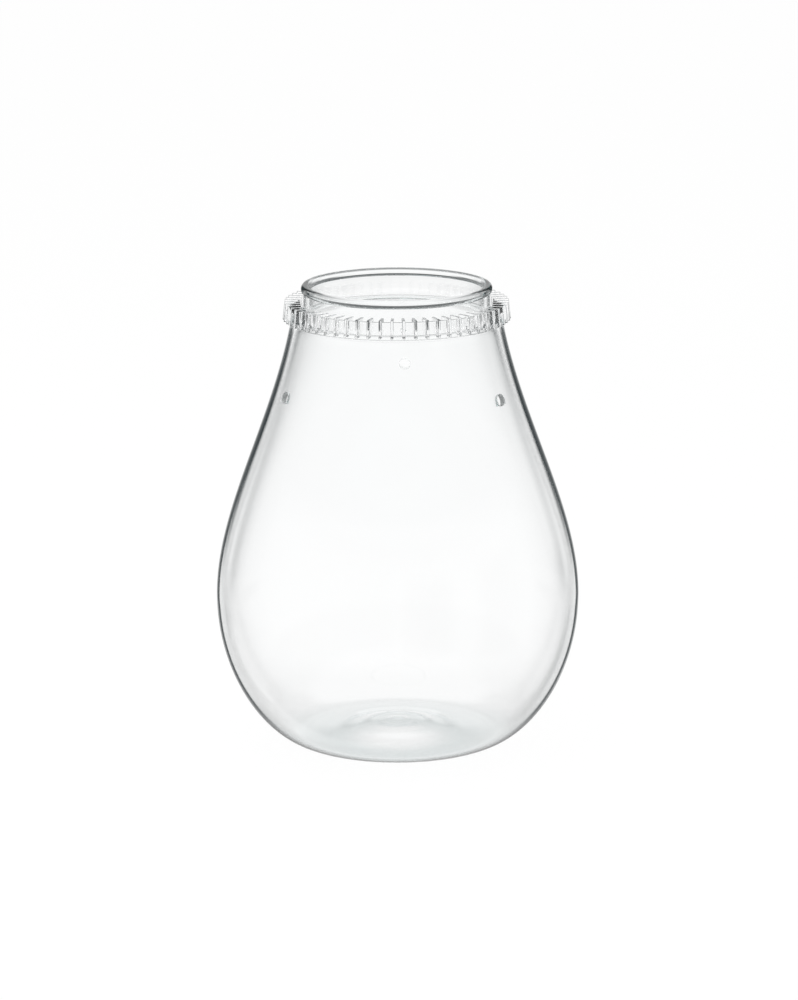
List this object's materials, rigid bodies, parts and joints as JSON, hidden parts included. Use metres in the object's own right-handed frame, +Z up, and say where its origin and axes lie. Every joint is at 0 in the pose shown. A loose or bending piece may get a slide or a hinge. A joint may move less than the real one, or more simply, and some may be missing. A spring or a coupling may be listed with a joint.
{
  "type": "glass plant jar",
  "caption": "Pear-shaped clear glass plant jar with a beaded lip, drilled air holes high on its flank and a loose ribbed clear collar on the shoulder that carries a lid or a lamp.",
  "frame": {"origin": "on the ground, on the jar's axis, in the middle of the foot", "axes": "+Z up the jar's axis; the pictured front faces -Y and +X is to its right"},
  "size_m": [0.18, 0.18, 0.229],
  "materials": {
    "jar_glass": "clear blown glass, fire-polished, with a faint cool tint at its edges and ground walls in the air holes",
    "collar_plastic": "clear moulded plastic, glossy"
  },
  "bodies": {
    "jar": {"glass_jar": "jar_glass"},
    "collar": {"grip_collar": "collar_plastic"}
  },
  "joints": [
    {"name": "collar_lift", "type": "slide", "parent": "jar", "child": "collar", "axis": [0, 0, 1], "range_m": [0, 0.03]}
  ]
}
